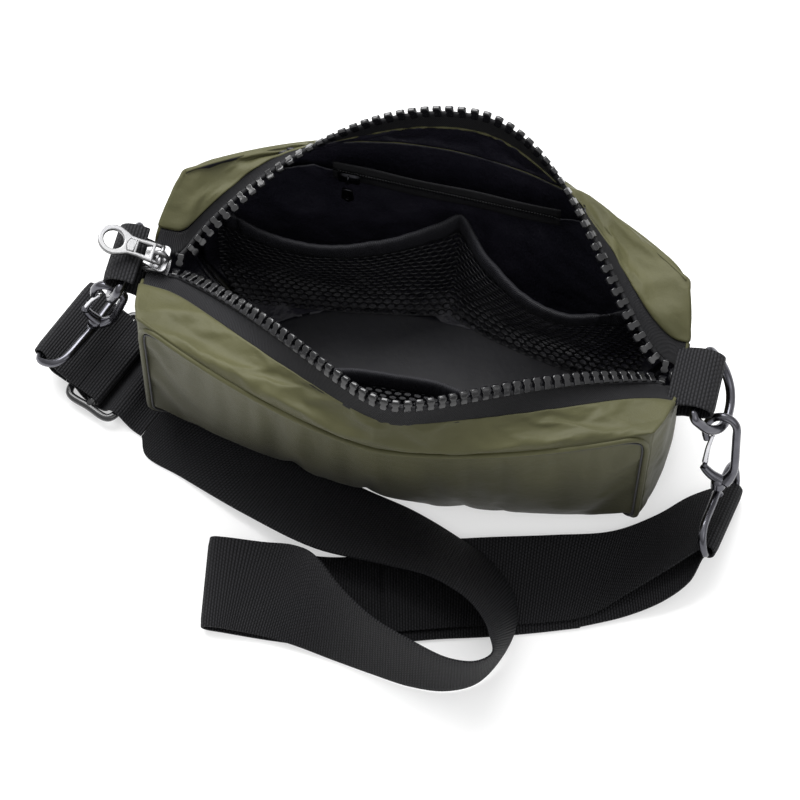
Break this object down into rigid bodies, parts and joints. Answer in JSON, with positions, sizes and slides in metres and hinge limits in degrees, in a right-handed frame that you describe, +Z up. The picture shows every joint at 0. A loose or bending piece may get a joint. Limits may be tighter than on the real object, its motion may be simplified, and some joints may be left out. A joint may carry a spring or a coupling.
{
  "type": "crossbody purse",
  "caption": "Small olive fabric crossbody bag with its zip pulled open, lining and pockets inside, swivel hooks on side rings, and a black webbing shoulder strap lying in front.",
  "frame": {"origin": "Middle of the base on the surface the bag stands on.", "axes": "+X along the bag to its right end, +Y to its back, +Z up."},
  "size_m": [0.291, 0.1976, 0.1106],
  "materials": {
    "olive_cloth": "matte",
    "padding": "matte",
    "stiffener": "matte",
    "lining_cloth": "satin",
    "mesh_cloth": "matte",
    "zip_tape": "matte",
    "zip_teeth": "gloss",
    "black_metal": "gloss",
    "nickel": "polished",
    "webbing": "matte",
    "gunmetal": "polished",
    "spring_steel": "polished",
    "adjuster_plastic": "gloss"
  },
  "bodies": {
    "bag": {"front_panel": "olive_cloth", "back_panel": "olive_cloth", "left_side_panel": "olive_cloth", "right_side_panel": "olive_cloth", "front_top_strip": "olive_cloth", "back_top_strip": "olive_cloth", "base_panel": "olive_cloth", "base_stiffener": "stiffener", "base_lining": "lining_cloth", "front_padding": "padding", "back_padding": "padding", "front_lining": "lining_cloth", "back_lining": "lining_cloth", "left_side_lining": "lining_cloth", "right_side_lining": "lining_cloth", "mesh_pocket": "mesh_cloth", "mesh_pocket_binding": "lining_cloth", "front_pocket": "mesh_cloth", "front_pocket_binding": "lining_cloth", "pocket_zip_upper_tape": "zip_tape", "pocket_zip_lower_tape": "zip_tape", "pocket_zip_coil": "zip_teeth", "front_zip_tape": "zip_tape", "back_zip_tape": "zip_tape", "front_zip_teeth": "zip_teeth", "back_zip_teeth": "zip_teeth", "zip_end_stop": "zip_teeth", "left_tab": "webbing", "right_tab": "webbing", "strap_middle": "webbing", "strap_right_under": "webbing", "strap_sewn_end": "webbing", "strap_adjuster": "adjuster_plastic", "strap_bar_wrap": "webbing", "strap_adjuster_run": "webbing"},
    "main_slider": {"zip_slider": "nickel"},
    "main_pull": {"zip_pull": "nickel"},
    "pocket_slider": {"pocket_zip_slider": "black_metal"},
    "pocket_pull": {"pocket_zip_pull": "black_metal"},
    "left_d": {"left_d_ring": "gunmetal"},
    "right_d": {"right_d_ring": "gunmetal"},
    "left_ring": {"left_strap_ring": "gunmetal", "strap_left_end": "webbing"},
    "right_ring": {"right_strap_ring": "gunmetal", "strap_right_turn": "webbing"},
    "left_snap": {"left_hook": "gunmetal"},
    "right_snap": {"right_hook": "gunmetal"},
    "left_gate": {"left_hook_gate": "spring_steel"},
    "right_gate": {"right_hook_gate": "spring_steel"}
  },
  "joints": [
    {"name": "main_zip_slide", "type": "slide", "parent": "bag", "child": "main_slider", "axis": [1, 0, 0], "range_m": [0, 0.002]},
    {"name": "main_pull_swing", "type": "hinge", "parent": "main_slider", "child": "main_pull", "pos_m": [-0.1012, 0, 0.0757], "axis": [0, 1, 0], "range_deg": [-6, 98]},
    {"name": "pocket_zip_slide", "type": "slide", "parent": "bag", "child": "pocket_slider", "axis": [1, 0, 0], "range_m": [0, 0.078]},
    {"name": "pocket_pull_swing", "type": "hinge", "parent": "pocket_slider", "child": "pocket_pull", "pos_m": [-0.039, 0.0504, 0.073], "axis": [-1, 0, 0], "range_deg": [0, 60]},
    {"name": "left_ring_swing", "type": "hinge", "parent": "bag", "child": "left_ring", "pos_m": [-0.114, -0.001, 0.07], "axis": [0, 1, 0], "range_deg": [0, 12]},
    {"name": "left_d_swing", "type": "hinge", "parent": "bag", "child": "left_d", "pos_m": [-0.114, -0.001, 0.07], "axis": [0, 1, 0], "range_deg": [0, 12]},
    {"name": "left_hook_swivel", "type": "hinge", "parent": "left_ring", "child": "left_snap", "pos_m": [-0.1304, -0.0094, 0.0212], "axis": [0.2904, 0.036, 0.9562], "range_deg": [-10, 10]},
    {"name": "left_gate_pivot", "type": "hinge", "parent": "left_snap", "child": "left_gate", "pos_m": [-0.13207, -0.00888, 0.03497], "axis": [0, 0.9993, -0.0377], "range_deg": [0, 16], "stiffness_Nm_per_rad": 0.02},
    {"name": "right_ring_swing", "type": "hinge", "parent": "bag", "child": "right_ring", "pos_m": [0.114, -0.001, 0.07], "axis": [0, -1, 0], "range_deg": [0, 12]},
    {"name": "right_d_swing", "type": "hinge", "parent": "bag", "child": "right_d", "pos_m": [0.114, -0.001, 0.07], "axis": [0, -1, 0], "range_deg": [0, 12]},
    {"name": "right_hook_swivel", "type": "hinge", "parent": "right_ring", "child": "right_snap", "pos_m": [0.1288, -0.0225, 0.0253], "axis": [-0.1152, 0.4326, 0.8942], "range_deg": [-10, 10]},
    {"name": "right_gate_pivot", "type": "hinge", "parent": "right_snap", "child": "right_gate", "pos_m": [0.12177, -0.01729, 0.03608], "axis": [0, 0.9002, -0.4355], "range_deg": [0, 16], "stiffness_Nm_per_rad": 0.02}
  ],
  "couplings": [
    {"joint": "left_d_swing", "follows": "left_ring_swing", "ratio": 1},
    {"joint": "right_d_swing", "follows": "right_ring_swing", "ratio": 1}
  ]
}
